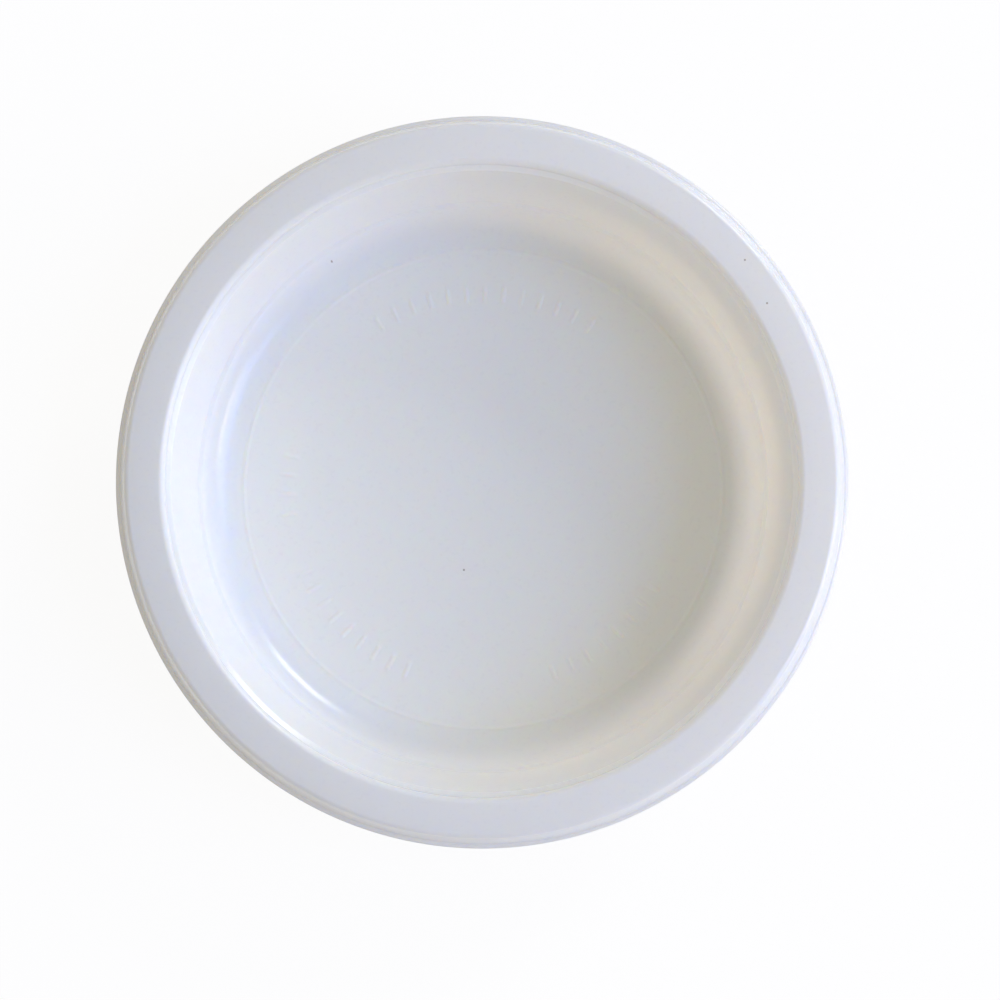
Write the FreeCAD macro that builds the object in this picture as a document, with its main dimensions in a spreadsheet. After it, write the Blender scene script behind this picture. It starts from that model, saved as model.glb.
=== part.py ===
import FreeCAD, Part
import math
import os

import Sketcher

# A deep plate moulded from one sheet of white plastic.
# Z is up. The origin is the middle of the underside of the floor, where the plate stands.
# All lengths are in millimetres.

# Driving sizes
SIZES = {
    # the whole plate
    "plate_diameter": 205.0,
    "plate_height": 34.0,
    "sheet_thickness": 0.45,
    # the edge: a small flat flange at the foot of a skirt that hangs from the rim
    "flange_width": 1.2,
    "skirt_run": 2.9,
    "skirt_height": 6.5,
    # the flat rim, the riser inside it and the stacking ledge, which slopes inwards
    "rim_width": 10.75,
    "riser_run": 0.1,
    "riser_height": 2.3,
    "ledge_width": 1.25,
    "ledge_drop": 1.0,
    # the wall, from the ledge down, with a fine shoulder round it; its level is above the table
    "upper_wall_run": 2.9,
    "shoulder_run": 0.95,
    "shoulder_height": 1.3,
    "shoulder_level": 8.5,
    "lower_wall_run": 3.05,
    # the floor, with a low ring just inside the curved foot of the wall
    "floor_ring_gap": 0.1,
    "floor_ring_width": 1.7,
    "floor_ring_rise": 0.15,
    # inner radii of the bends: a bend that is convex on top is rounder there by the sheet
    "skirt_foot_bend": 0.5,
    "rim_edge_bend": 1.55,
    "rim_inner_bend": 1.2,
    "ledge_foot_bend": 0.25,
    "ledge_edge_bend": 0.1,
    "shoulder_bend": 0.3,
    "wall_foot_bend": 10.0,
    "floor_ring_bend": 0.8,
}

# How a sketch names its own origin and upright axis, and the ends of a line or an arc
ORIGIN, AXIS = range(-1, -3, -1)
START, END = range(1, 3)


def make_sheet(doc):
    """The spreadsheet that holds the driving sizes, one alias for each."""
    sheet = doc.addObject("Spreadsheet::Sheet", "Sizes")
    for row, (name, value) in enumerate(SIZES.items(), start=1):
        sheet.set(f"A{row}", name)
        sheet.set(f"B{row}", str(value))
        sheet.setAlias(f"B{row}", name)
    doc.recompute()


class Section:
    """A sketch of the top of the moulded sheet in section, from the outer edge in to the axis.

    It is a chain of straight legs between named corners, with a bend tangent to both legs at each
    corner. Its x is the radius and its y is the height.
    """

    def __init__(self, doc, name):
        self.sketch = doc.addObject("Sketcher::SketchObject", name)
        self.sketch.Placement.Rotation = FreeCAD.Rotation(FreeCAD.Vector(1, 0, 0), 90)
        self.names = []
        self.points = []
        self.bends = []
        self.marks = {}
        self.lines = []
        self.bend_ends = {}

    def corner(self, name, x, y, bend=None, convex=False):
        """Add the next corner, with the alias of its bend's inner radius."""
        self.names.append(name)
        self.points.append(FreeCAD.Vector(x, y, 0))
        self.bends.append((bend, convex))

    def radius(self, index):
        """The radius of the top of a bend, as a number and as an expression."""
        bend, convex = self.bends[index]
        if convex:
            return SIZES[bend] + SIZES["sheet_thickness"], f"Sizes.{bend} + Sizes.sheet_thickness"
        return SIZES[bend], f"Sizes.{bend}"

    def direction(self, leg):
        return (self.points[leg + 1] - self.points[leg]).normalize()

    def turn(self, index):
        """The angle by which the section turns at a corner, positive to the left."""
        before = self.direction(index - 1)
        after = self.direction(index)
        return math.atan2(before.cross(after).z, before.dot(after))

    def setback(self, index):
        """How far a corner's bend reaches along the legs beside it."""
        if self.bends[index][0] is None:
            return 0.0
        return self.radius(index)[0] * math.tan(abs(self.turn(index)) / 2)

    def draw(self):
        """Draw a mark on each corner, the legs and the bends between them."""
        for name, point in zip(self.names, self.points):
            self.marks[name] = self.sketch.addGeometry(Part.Point(point), True)
        for leg in range(len(self.points) - 1):
            along = self.direction(leg)
            first = self.points[leg] + along * self.setback(leg)
            last = self.points[leg + 1] - along * self.setback(leg + 1)
            self.lines.append(self.sketch.addGeometry(Part.LineSegment(first, last)))
        for index in range(1, len(self.points) - 1):
            self.draw_bend(index)
        self.add("Coincident", self.marks[self.names[0]], START, self.lines[0], START)
        self.add("Coincident", self.marks[self.names[-1]], START, self.lines[-1], END)

    def draw_bend(self, index):
        """Draw one bend tangent to both its legs, and hold its corner's mark on them."""
        radius, expression = self.radius(index)
        turn = self.turn(index)
        before = self.direction(index - 1)
        to_centre = FreeCAD.Vector(-before.y, before.x, 0) * math.copysign(1, turn)
        centre = self.points[index] - before * self.setback(index) + to_centre * radius
        angle = math.atan2(-to_centre.y, -to_centre.x)
        circle = Part.Circle(centre, FreeCAD.Vector(0, 0, 1), radius)
        arc = self.sketch.addGeometry(Part.ArcOfCircle(circle, *sorted((angle, angle + turn))))
        outer, inner = (START, END) if turn > 0 else (END, START)
        self.add("Tangent", self.lines[index - 1], END, arc, outer)
        self.add("Tangent", arc, inner, self.lines[index], START)
        self.size("Radius", expression, arc, radius)
        mark = self.marks[self.names[index]]
        self.add("PointOnObject", mark, START, self.lines[index - 1])
        self.add("PointOnObject", mark, START, self.lines[index])
        self.bend_ends[self.names[index]] = (arc, inner)

    def add(self, kind, *parts):
        return self.sketch.addConstraint(Sketcher.Constraint(kind, *parts))

    def size(self, kind, expression, *parts):
        """Add a dimension and bind it to the sheet."""
        index = self.add(kind, *parts)
        self.sketch.setExpression(f"Constraints[{index}]", expression)

    def run(self, outer, inner, alias):
        """Set how far one corner lies inside another."""
        points = (self.marks[inner], START, self.marks[outer], START)
        self.size("DistanceX", f"Sizes.{alias}", *points, SIZES[alias])

    def rise(self, lower, upper, alias):
        """Set how far one corner lies above another."""
        points = (self.marks[lower], START, self.marks[upper], START)
        self.size("DistanceY", f"Sizes.{alias}", *points, SIZES[alias])

    def level(self, name, alias):
        """Set a corner's height above the table."""
        points = (ORIGIN, START, self.marks[name], START)
        self.size("DistanceY", f"Sizes.{alias}", *points, SIZES[alias])

    def flat(self, outer, inner):
        """Keep two corners at one height."""
        self.add("Horizontal", self.marks[outer], START, self.marks[inner], START)


def place_corners(section):
    """Set out the corners of the section, from the outer edge in to the axis."""
    size = SIZES
    top = size["plate_height"]
    flange = top - size["skirt_height"]
    ledge = top - size["riser_height"]
    shoulder = size["shoulder_level"]
    floor = size["sheet_thickness"]

    radius = size["plate_diameter"] / 2
    section.corner("edge", radius, flange)
    radius -= size["flange_width"]
    section.corner("skirt_foot", radius, flange, "skirt_foot_bend")
    radius -= size["skirt_run"]
    section.corner("rim_edge", radius, top, "rim_edge_bend", convex=True)
    radius -= size["rim_width"]
    section.corner("rim_inner", radius, top, "rim_inner_bend", convex=True)
    radius -= size["riser_run"]
    section.corner("riser_foot", radius, ledge, "ledge_foot_bend")
    radius -= size["ledge_width"]
    ledge -= size["ledge_drop"]
    section.corner("ledge_edge", radius, ledge, "ledge_edge_bend", convex=True)
    radius -= size["upper_wall_run"]
    section.corner("shoulder_top", radius, shoulder + size["shoulder_height"], "shoulder_bend")
    radius -= size["shoulder_run"]
    section.corner("shoulder_foot", radius, shoulder, "shoulder_bend", convex=True)
    radius -= size["lower_wall_run"]
    section.corner("wall_foot", radius, floor, "wall_foot_bend")

    # the ring starts where the curved foot of the wall ends
    foot_angle = math.atan2(shoulder - floor, size["lower_wall_run"])
    radius -= size["wall_foot_bend"] * math.tan(foot_angle / 2) + size["floor_ring_gap"]
    section.corner("ring_outer", radius, floor, "floor_ring_bend")
    radius -= size["floor_ring_width"] / 2
    section.corner("ring_crest", radius, floor + size["floor_ring_rise"], "floor_ring_bend", convex=True)
    radius -= size["floor_ring_width"] / 2
    section.corner("ring_inner", radius, floor, "floor_ring_bend")
    section.corner("axis", 0, floor)


def make_section(doc):
    """Draw the section of the plate's top and bind it to the sheet."""
    section = Section(doc, "section")
    place_corners(section)
    section.draw()
    marks = section.marks

    # the overall sizes
    edge = (ORIGIN, START, marks["edge"], START)
    section.size("DistanceX", "Sizes.plate_diameter / 2", *edge, SIZES["plate_diameter"] / 2)
    section.level("rim_edge", "plate_height")
    section.level("wall_foot", "sheet_thickness")
    section.add("PointOnObject", marks["axis"], START, AXIS)

    # the edge, the rim and the ledge
    section.run("edge", "skirt_foot", "flange_width")
    section.flat("edge", "skirt_foot")
    section.run("skirt_foot", "rim_edge", "skirt_run")
    section.rise("skirt_foot", "rim_edge", "skirt_height")
    section.run("rim_edge", "rim_inner", "rim_width")
    section.flat("rim_edge", "rim_inner")
    section.run("rim_inner", "riser_foot", "riser_run")
    section.rise("riser_foot", "rim_inner", "riser_height")
    section.run("riser_foot", "ledge_edge", "ledge_width")
    section.rise("ledge_edge", "riser_foot", "ledge_drop")

    # the wall and its shoulder
    section.run("ledge_edge", "shoulder_top", "upper_wall_run")
    section.run("shoulder_top", "shoulder_foot", "shoulder_run")
    section.rise("shoulder_foot", "shoulder_top", "shoulder_height")
    section.level("shoulder_foot", "shoulder_level")
    section.run("shoulder_foot", "wall_foot", "lower_wall_run")

    # the floor and its ring, which is set from where the wall's curved foot ends
    gap = (marks["ring_outer"], START, *section.bend_ends["wall_foot"])
    section.size("DistanceX", "Sizes.floor_ring_gap", *gap, SIZES["floor_ring_gap"])
    half = (marks["ring_crest"], START, marks["ring_outer"], START)
    section.size("DistanceX", "Sizes.floor_ring_width / 2", *half, SIZES["floor_ring_width"] / 2)
    section.run("ring_outer", "ring_inner", "floor_ring_width")
    section.rise("ring_inner", "ring_crest", "floor_ring_rise")
    section.flat("wall_foot", "ring_outer")
    section.flat("ring_outer", "ring_inner")
    section.flat("ring_inner", "axis")
    return section.sketch


def make_plate(doc, section):
    """Give the section the sheet's thickness, downwards, and turn it round the axis."""
    sheet = doc.addObject("Part::Offset2D", "sheet_section")
    sheet.Source = section
    sheet.setExpression("Value", "Sizes.sheet_thickness")
    sheet.Mode = "Skin"
    sheet.Fill = True
    plate = doc.addObject("Part::Revolution", "plate")
    plate.Label = "plate"
    plate.Source = sheet
    plate.Axis = FreeCAD.Vector(0, 0, 1)
    plate.Angle = 360
    plate.Solid = True
    return plate


def check(doc, parts):
    """Stop if any object failed or any sub-part is not one sound solid."""
    for item in doc.Objects:
        if "Invalid" in item.State or "Error" in item.State:
            raise RuntimeError(f"{item.Label} did not compute: {item.State}")
    for item in parts:
        if item.Shape.isNull() or not item.Shape.isValid():
            raise RuntimeError(f"{item.Label} has no valid shape")
        if len(item.Shape.Solids) != 1:
            raise RuntimeError(f"{item.Label} is not one solid")


def main():
    doc = FreeCAD.newDocument("deep_plate")
    make_sheet(doc)
    plate = make_plate(doc, make_section(doc))
    doc.recompute()
    check(doc, [plate])
    os.makedirs("parts", exist_ok=True)
    plate.Shape.exportStep(f"parts/{plate.Label}.step")
    box = plate.Shape.optimalBoundingBox()
    print(f"plate: {box.XLength:.3f} x {box.YLength:.3f} x {box.ZLength:.3f} mm, bottom at {box.ZMin:.3f}")
    print(f"plastic: {plate.Shape.Volume:.1f} cubic mm")


main()
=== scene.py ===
import math

import bpy
from mathutils import Matrix, Vector


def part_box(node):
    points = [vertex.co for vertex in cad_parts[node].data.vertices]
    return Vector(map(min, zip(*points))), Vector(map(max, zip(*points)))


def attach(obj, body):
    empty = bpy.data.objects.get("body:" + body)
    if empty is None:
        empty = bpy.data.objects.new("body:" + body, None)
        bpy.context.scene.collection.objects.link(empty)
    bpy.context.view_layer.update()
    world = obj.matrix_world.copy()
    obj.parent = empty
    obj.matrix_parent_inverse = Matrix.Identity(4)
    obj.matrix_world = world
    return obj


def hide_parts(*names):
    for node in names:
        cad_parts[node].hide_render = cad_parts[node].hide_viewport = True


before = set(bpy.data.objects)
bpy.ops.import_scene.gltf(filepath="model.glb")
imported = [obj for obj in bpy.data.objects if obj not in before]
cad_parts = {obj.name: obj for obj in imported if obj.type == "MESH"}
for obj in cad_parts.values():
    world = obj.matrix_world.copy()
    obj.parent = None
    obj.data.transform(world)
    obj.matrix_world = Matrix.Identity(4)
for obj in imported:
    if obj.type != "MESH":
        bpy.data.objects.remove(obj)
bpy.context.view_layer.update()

# A deep plate moulded from one sheet of glossy white plastic, seen from almost straight above.
# Lengths are in metres, in the frame's own axes: Z is up and the floor of the plate stands on Z = 0.
MM = 0.001

# Sizes of the plate, as in the CAD model
SHEET = 0.45 * MM
FLANGE_WIDTH = 1.2 * MM
SKIRT_RUN = 2.9 * MM
SKIRT_HEIGHT = 6.5 * MM
RIM_WIDTH = 10.75 * MM
RISER_RUN = 0.1 * MM
RISER_HEIGHT = 2.3 * MM
LEDGE_WIDTH = 1.25 * MM
LEDGE_DROP = 1.0 * MM
UPPER_WALL_RUN = 2.9 * MM
SHOULDER_RUN = 0.95 * MM
SHOULDER_HEIGHT = 1.3 * MM
SHOULDER_LEVEL = 8.5 * MM
LOWER_WALL_RUN = 3.05 * MM
RING_GAP = 0.1 * MM
RING_WIDTH = 1.7 * MM
RING_RISE = 0.15 * MM

# Inner radii of the bends
SKIRT_FOOT_BEND = 0.5 * MM
RIM_EDGE_BEND = 1.55 * MM
RIM_INNER_BEND = 1.2 * MM
LEDGE_FOOT_BEND = 0.25 * MM
LEDGE_EDGE_BEND = 0.1 * MM
SHOULDER_BEND = 0.3 * MM
WALL_FOOT_BEND = 10.0 * MM
RING_BEND = 0.8 * MM

# Overall sizes, from the frame
PLATE_LOW, PLATE_HIGH = (Vector(corner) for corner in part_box("plate"))
PLATE_RADIUS = (PLATE_HIGH.x - PLATE_LOW.x) / 2
PLATE_HEIGHT = PLATE_HIGH.z - PLATE_LOW.z

# Plain raised bars on the floor, in arcs given in degrees from the X axis
BAR_ARCS = ((57, 122), (170, 187), (205, 247), (291, 330))
BAR_PITCH = 5.4
BAR_MIDDLE = 58.6 * MM
BAR_LENGTH = 4.6 * MM
BAR_WIDTH = 1.1 * MM
BAR_RISE = 0.19 * MM
BAR_EDGE = 0.35 * MM

# How finely the plate is divided
SPOKES = 360
BAR_SPOKES = 1440
UPPER_BEND_STEPS = 7
LOWER_BEND_STEPS = 4
LONGEST_STEP = 8.0 * MM
BAR_STEP = 0.4 * MM

# How deep light goes into the floor, the drawn wall and the rim, and where the wall and the rim begin
FLOOR_DEPTH = 0.5 * MM
WALL_DEPTH = 1.2 * MM
RIM_DEPTH = 1.9 * MM
WALL_FROM = 73.0 * MM
RIM_FROM = 85.0 * MM
DEPTH_BLEND = 6.0 * MM
DEPTH_BY_COLOUR = (1.3, 1.0, 0.7)

# The colour of the plastic: soft clouds from one tone to another, fine grain, and small dark specks,
# each (x, y, size) in millimetres
CLOUD_SIZE = 38.0 * MM
CLOUD_TONES = ((0.970, 0.950, 0.895, 1), (0.955, 0.935, 0.880, 1))
GRAIN_SIZE = 1.1 * MM
GRAIN_BAND = (0.62, 0.80)
GRAIN_SHARE = 0.25
GRAIN_TONE = (0.89, 0.87, 0.83, 1)
SPECKS = ((-5.8, -24.0, 0.45), (-44.8, 67.2, 0.4), (72.4, 60.7, 0.4), (78.5, 48.8, 0.4))
SPECK_SHARE = 0.75
SPECK_TONE = (0.25, 0.20, 0.16, 1)

# The gloss of the plastic: smears from one roughness to another, and a slight ripple
SMEAR_SIZE = 16.0 * MM
SMEAR_BAND = (0.3, 0.7)
ROUGHNESS = (0.17, 0.27)
RIPPLE_SIZE = 14.0 * MM
RIPPLE_RISE = 0.02 * MM

# The table
TABLE_SIZE = 6.0
TABLE_DROP = 0.1 * MM
TABLE_TONE = (0.78, 0.78, 0.78, 1)
TABLE_ROUGHNESS = 0.8
TABLE_WHITE = 1.06
TABLE_WHITE_SHARE = 0.85

# The lamps, each (name, azimuth from +X, elevation, width, power, colour), and the even light round them
LAMP_DISTANCE = 8.0
LAMPS = (
    ("window", -10, 32, 5.3, 385.0, (0.34, 0.495, 1.0)),
    ("far_window", 50, 20, 2.1, 150.0, (0.95, 0.98, 1.0)),
    ("low_glow", -10, 12, 3.0, 150.0, (1.0, 0.77, 0.2)),
)
SKY_COLOUR = (1.0, 0.935, 0.845, 1)
SKY_STRENGTH = 0.535

# The camera of the photograph: its place, its shift and its lens
CAMERA_PLACE = Vector((5.0 * MM, -31.6 * MM, 419.3 * MM))
CAMERA_SHIFT_Y = 0.0953
SENSOR_WIDTH = 36.0
FOCAL_PIXELS = 1400
IMAGE_PIXELS = 1000


# The section of the plate

def corners():
    """The corners of the top of the section, from the outer edge in, each (radius, height, bend)."""
    flange = PLATE_HEIGHT - SKIRT_HEIGHT
    ledge = PLATE_HEIGHT - RISER_HEIGHT
    radius = PLATE_RADIUS
    found = [(radius, flange, 0)]
    for run, height, bend in (
        (FLANGE_WIDTH, flange, SKIRT_FOOT_BEND),
        (SKIRT_RUN, PLATE_HEIGHT, RIM_EDGE_BEND + SHEET),
        (RIM_WIDTH, PLATE_HEIGHT, RIM_INNER_BEND + SHEET),
        (RISER_RUN, ledge, LEDGE_FOOT_BEND),
        (LEDGE_WIDTH, ledge - LEDGE_DROP, LEDGE_EDGE_BEND + SHEET),
        (UPPER_WALL_RUN, SHOULDER_LEVEL + SHOULDER_HEIGHT, SHOULDER_BEND),
        (SHOULDER_RUN, SHOULDER_LEVEL, SHOULDER_BEND + SHEET),
        (LOWER_WALL_RUN, SHEET, WALL_FOOT_BEND),
    ):
        radius -= run
        found.append((radius, height, bend))
    foot_angle = math.atan2(SHOULDER_LEVEL - SHEET, LOWER_WALL_RUN)
    radius -= WALL_FOOT_BEND * math.tan(foot_angle / 2) + RING_GAP
    found.append((radius, SHEET, RING_BEND))
    found.append((radius - RING_WIDTH / 2, SHEET + RING_RISE, RING_BEND + SHEET))
    found.append((radius - RING_WIDTH, SHEET, RING_BEND))
    found.append((0, SHEET, 0))
    return found


def rounded(chain, bend_steps):
    """Points and upward normals along a chain of legs whose corners are rounded by their bends."""
    points = [Vector((radius, height)) for radius, height, _ in chain]
    along = [(b - a).normalized() for a, b in zip(points, points[1:])]
    path = [(points[0], across(along[0]))]
    for index in range(1, len(points) - 1):
        before, after = along[index - 1], along[index]
        turn = math.atan2(before.x * after.y - before.y * after.x, before.dot(after))
        bend = chain[index][2]
        start = points[index] - before * bend * math.tan(abs(turn) / 2)
        fill_leg(path, start)
        normal = across(before)
        # the centre of the bend is above the sheet where it turns down towards the axis
        side = -math.copysign(1, turn)
        centre = start + normal * bend * side
        for step in range(bend_steps + 1):
            angle = turn * step / bend_steps
            turned_normal = Matrix.Rotation(angle, 2) @ normal
            path.append((centre - turned_normal * bend * side, turned_normal))
    fill_leg(path, points[-1])
    path.append((points[-1], across(along[-1])))
    return path


def across(along):
    """The normal on the upper side of a leg that runs inwards."""
    return Vector((along.y, -along.x))


def fill_leg(path, end):
    """Divide the straight leg from the last point of the path to its end."""
    start, normal = path[-1]
    count = int((end - start).length / LONGEST_STEP)
    for step in range(1, count + 1):
        path.append((start.lerp(end, step / (count + 1)), normal))


def outline():
    """The two sides of the section: the top from the edge in, and the underside back out."""
    upper = [point for point, _ in rounded(corners(), UPPER_BEND_STEPS)]
    lower = [point - normal * SHEET for point, normal in rounded(corners(), LOWER_BEND_STEPS)]
    return upper, lower[::-1]


# The bars

def bar_angles():
    """The angles of the bars, in radians."""
    found = []
    for first, last in BAR_ARCS:
        count = round((last - first) / BAR_PITCH)
        for step in range(count + 1):
            found.append(math.radians(first + (last - first) * step / count))
    return found


def soft_step(distance):
    """One well inside an edge, nothing outside it, and a smooth slope between."""
    share = min(max(distance / BAR_EDGE, 0), 1)
    return share * share * (3 - 2 * share)


def bar_height(radius, angle, bars):
    """How high the floor is raised by the nearest bar."""
    lengthwise = BAR_LENGTH / 2 - abs(radius - BAR_MIDDLE)
    turn = min(abs(math.remainder(angle - bar, 2 * math.pi)) for bar in bars)
    crosswise = BAR_WIDTH / 2 - turn * radius
    return BAR_RISE * soft_step(lengthwise + BAR_EDGE / 2) * soft_step(crosswise + BAR_EDGE / 2)


def bar_rings():
    """The radii of the fine rings that carry the bars, from the outermost in."""
    reach = BAR_LENGTH / 2 + BAR_EDGE
    count = math.ceil(2 * reach / BAR_STEP)
    return [BAR_MIDDLE + reach - 2 * reach * step / count for step in range(count + 1)]


# The mesh

def circle(vertices, point, spokes):
    """Add one ring of points and say where it starts and how many it has."""
    start = len(vertices)
    for spoke in range(spokes):
        angle = 2 * math.pi * spoke / spokes
        vertices.append((point.x * math.cos(angle), point.x * math.sin(angle), point.y))
    return start, spokes


def bar_circle(vertices, radius, bars):
    """Add one fine ring of the floor, raised by the bars."""
    start = len(vertices)
    for spoke in range(BAR_SPOKES):
        angle = 2 * math.pi * spoke / BAR_SPOKES
        height = SHEET + bar_height(radius, angle, bars)
        vertices.append((radius * math.cos(angle), radius * math.sin(angle), height))
    return start, BAR_SPOKES


def bridge(faces, first, second):
    """Join two rings, of which one may have a multiple of the other's points."""
    shared = min(first[1], second[1])
    for step in range(shared):
        sides = []
        for start, count in (first, second):
            each = count // shared
            sides.append([start + (step * each + k) % count for k in range(each + 1)])
        faces.append(sides[0] + sides[1][::-1])


def turned(name, upper, lower):
    """A solid of revolution from the two sides of a section that meet on the axis."""
    vertices = []
    faces = []
    bars = bar_angles()
    fine = bar_rings()
    upper_rings = []
    for point in upper[:-1]:
        if fine and point.x < fine[0] + BAR_EDGE:
            upper_rings += [bar_circle(vertices, radius, bars) for radius in fine]
            fine = []
        if abs(point.x - BAR_MIDDLE) > BAR_LENGTH / 2 + 2 * BAR_EDGE or point.y > SHEET + BAR_EDGE:
            upper_rings.append(circle(vertices, point, SPOKES))
    lower_rings = [circle(vertices, point, SPOKES) for point in lower[1:]]
    for rings in (upper_rings, lower_rings):
        for first, second in zip(rings, rings[1:]):
            bridge(faces, first, second)
    bridge(faces, lower_rings[-1], upper_rings[0])
    for rings, point, order in ((upper_rings[-1], upper[-1], 1), (lower_rings[0], lower[0], -1)):
        middle = len(vertices)
        vertices.append((0, 0, point.y))
        start, count = rings
        for spoke in range(count):
            edge = (start + spoke, start + (spoke + 1) % count)[::order]
            faces.append((*edge, middle))
    mesh = bpy.data.meshes.new(name)
    mesh.from_pydata(vertices, [], faces)
    mesh.validate()
    mesh.shade_smooth()
    piece = bpy.data.objects.new(name, mesh)
    bpy.context.scene.collection.objects.link(piece)
    return piece


# Materials

def node(tree, kind, **settings):
    """Add a shader node with its settings."""
    made = tree.nodes.new("ShaderNode" + kind)
    for name, value in settings.items():
        setattr(made, name, value)
    return made


def noise(tree, place, size, detail):
    """Soft mottling with patches of about the given size."""
    texture = node(tree, "TexNoise")
    texture.inputs["Scale"].default_value = 1 / size
    texture.inputs["Detail"].default_value = detail
    tree.links.new(place, texture.inputs["Vector"])
    return texture.outputs["Fac"]


def ranged(tree, value, low, high, to_low, to_high):
    """The value moved from one range to another, smoothly."""
    mapped = node(tree, "MapRange", interpolation_type="SMOOTHSTEP")
    tree.links.new(value, mapped.inputs["Value"])
    for name, number in (("From Min", low), ("From Max", high), ("To Min", to_low), ("To Max", to_high)):
        mapped.inputs[name].default_value = number
    return mapped.outputs["Result"]


def combined(tree, operation, first, second):
    """Two values put together by a Math node."""
    math_node = node(tree, "Math", operation=operation)
    tree.links.new(first, math_node.inputs[0])
    tree.links.new(second, math_node.inputs[1])
    return math_node.outputs["Value"]


def tinted(tree, share, first, second):
    """A mix of two colours, either of which may come from another node."""
    mix = node(tree, "Mix", data_type="RGBA")
    tree.links.new(share, mix.inputs["Factor"])
    for name, colour in (("A", first), ("B", second)):
        socket = next(s for s in mix.inputs if s.name == name and s.type == "RGBA")
        if isinstance(colour, tuple):
            socket.default_value = colour
        else:
            tree.links.new(colour, socket)
    return next(s for s in mix.outputs if s.type == "RGBA")


def flat_distance(tree, place, centre):
    """The distance from a point, seen from above."""
    flat = node(tree, "VectorMath", operation="MULTIPLY")
    flat.inputs[1].default_value = (1, 1, 0)
    tree.links.new(place, flat.inputs[0])
    away = node(tree, "VectorMath", operation="DISTANCE")
    away.inputs[1].default_value = (*centre, 0)
    tree.links.new(flat.outputs["Vector"], away.inputs[0])
    return away.outputs["Value"]


def plastic():
    """Glossy white plastic that lets light through, least of all in the floor."""
    material = bpy.data.materials.new("white_plastic")
    material.use_nodes = True
    tree = material.node_tree
    shader = tree.nodes["Principled BSDF"]
    place = node(tree, "TexCoord").outputs["Object"]

    radius = flat_distance(tree, place, (0, 0))
    wall = ranged(tree, radius, WALL_FROM, WALL_FROM + DEPTH_BLEND, FLOOR_DEPTH, WALL_DEPTH)
    rim = ranged(tree, radius, RIM_FROM, RIM_FROM + DEPTH_BLEND, 0, RIM_DEPTH - WALL_DEPTH)
    tree.links.new(combined(tree, "ADD", wall, rim), shader.inputs["Subsurface Scale"])
    shader.inputs["Subsurface Weight"].default_value = 1.0
    shader.inputs["Subsurface Radius"].default_value = DEPTH_BY_COLOUR

    colour = tinted(tree, noise(tree, place, CLOUD_SIZE, 1), *CLOUD_TONES)
    grain = ranged(tree, noise(tree, place, GRAIN_SIZE, 0), *GRAIN_BAND, 0, GRAIN_SHARE)
    colour = tinted(tree, grain, colour, GRAIN_TONE)
    for x, y, size in SPECKS:
        away = flat_distance(tree, place, (x * MM, y * MM))
        dark = ranged(tree, away, size * MM / 3, size * MM, SPECK_SHARE, 0)
        colour = tinted(tree, dark, colour, SPECK_TONE)
    tree.links.new(colour, shader.inputs["Base Color"])

    smear = ranged(tree, noise(tree, place, SMEAR_SIZE, 1), *SMEAR_BAND, *ROUGHNESS)
    tree.links.new(smear, shader.inputs["Roughness"])

    bump = node(tree, "Bump")
    bump.inputs["Distance"].default_value = RIPPLE_RISE
    tree.links.new(noise(tree, place, RIPPLE_SIZE, 1), bump.inputs["Height"])
    tree.links.new(bump.outputs["Normal"], shader.inputs["Normal"])
    return material


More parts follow.
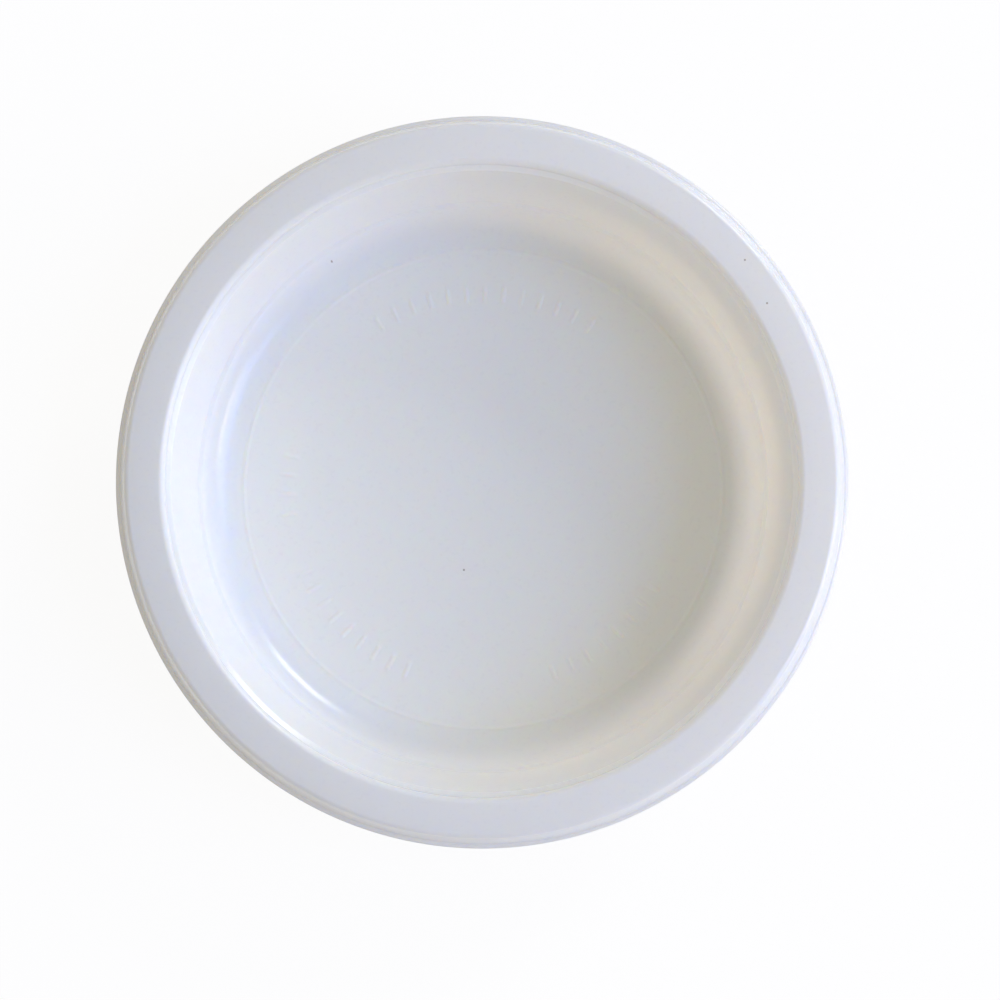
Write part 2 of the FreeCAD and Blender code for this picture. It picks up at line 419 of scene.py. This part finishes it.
def table():
    """A pale matt sheet that the camera and reflections see as white, with the plate's soft shadow kept."""
    material = bpy.data.materials.new("pale_table")
    material.use_nodes = True
    tree = material.node_tree
    shader = tree.nodes["Principled BSDF"]
    shader.inputs["Base Color"].default_value = TABLE_TONE
    shader.inputs["Roughness"].default_value = TABLE_ROUGHNESS
    white = node(tree, "Emission")
    white.inputs["Strength"].default_value = TABLE_WHITE
    ray = node(tree, "LightPath").outputs
    seen = combined(tree, "MAXIMUM", ray["Is Camera Ray"], ray["Is Glossy Ray"])
    seen = combined(tree, "MAXIMUM", seen, ray["Is Transmission Ray"])
    share = node(tree, "Math", operation="MULTIPLY")
    share.inputs[1].default_value = TABLE_WHITE_SHARE
    tree.links.new(seen, share.inputs[0])
    mix = node(tree, "MixShader")
    tree.links.new(share.outputs["Value"], mix.inputs["Fac"])
    tree.links.new(shader.outputs["BSDF"], mix.inputs[1])
    tree.links.new(white.outputs["Emission"], mix.inputs[2])
    tree.links.new(mix.outputs["Shader"], tree.nodes["Material Output"].inputs["Surface"])
    return material


def make_plate():
    upper, lower = outline()
    plate = turned("plate_moulding", upper, lower)
    plate.data.materials.append(plastic())
    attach(plate, "root")
    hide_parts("plate")


# The stage

def make_stage():
    level = PLATE_LOW.z - TABLE_DROP
    bpy.ops.mesh.primitive_plane_add(size=TABLE_SIZE, location=(0, 0, level))
    floor = bpy.context.object
    floor.name = "studio_floor"
    floor.data.materials.append(table())


def area_light(name, azimuth, elevation, width, power, colour):
    """A soft square lamp that points at the plate."""
    light = bpy.data.lights.new(name, "AREA")
    light.shape = "SQUARE"
    light.size = width
    light.energy = power
    light.color = colour
    lamp = bpy.data.objects.new(name, light)
    across_floor = math.cos(math.radians(elevation))
    towards = Vector((
        across_floor * math.cos(math.radians(azimuth)),
        across_floor * math.sin(math.radians(azimuth)),
        math.sin(math.radians(elevation)),
    ))
    lamp.location = towards * LAMP_DISTANCE
    lamp.rotation_euler = towards.to_track_quat("Z", "Y").to_euler()
    bpy.context.scene.collection.objects.link(lamp)


def make_lights():
    for lamp in LAMPS:
        area_light(*lamp)
    world = bpy.data.worlds.new("studio")
    world.use_nodes = True
    background = world.node_tree.nodes["Background"]
    background.inputs["Color"].default_value = SKY_COLOUR
    background.inputs["Strength"].default_value = SKY_STRENGTH
    bpy.context.scene.world = world


def make_camera():
    data = bpy.data.cameras.new("camera")
    data.sensor_width = SENSOR_WIDTH
    data.lens = SENSOR_WIDTH * FOCAL_PIXELS / IMAGE_PIXELS
    camera = bpy.data.objects.new("camera", data)
    camera.location = CAMERA_PLACE
    data.shift_y = CAMERA_SHIFT_Y
    bpy.context.scene.collection.objects.link(camera)
    bpy.context.scene.camera = camera


make_plate()
make_stage()
make_lights()
make_camera()
bpy.context.scene.view_settings.view_transform = "Standard"
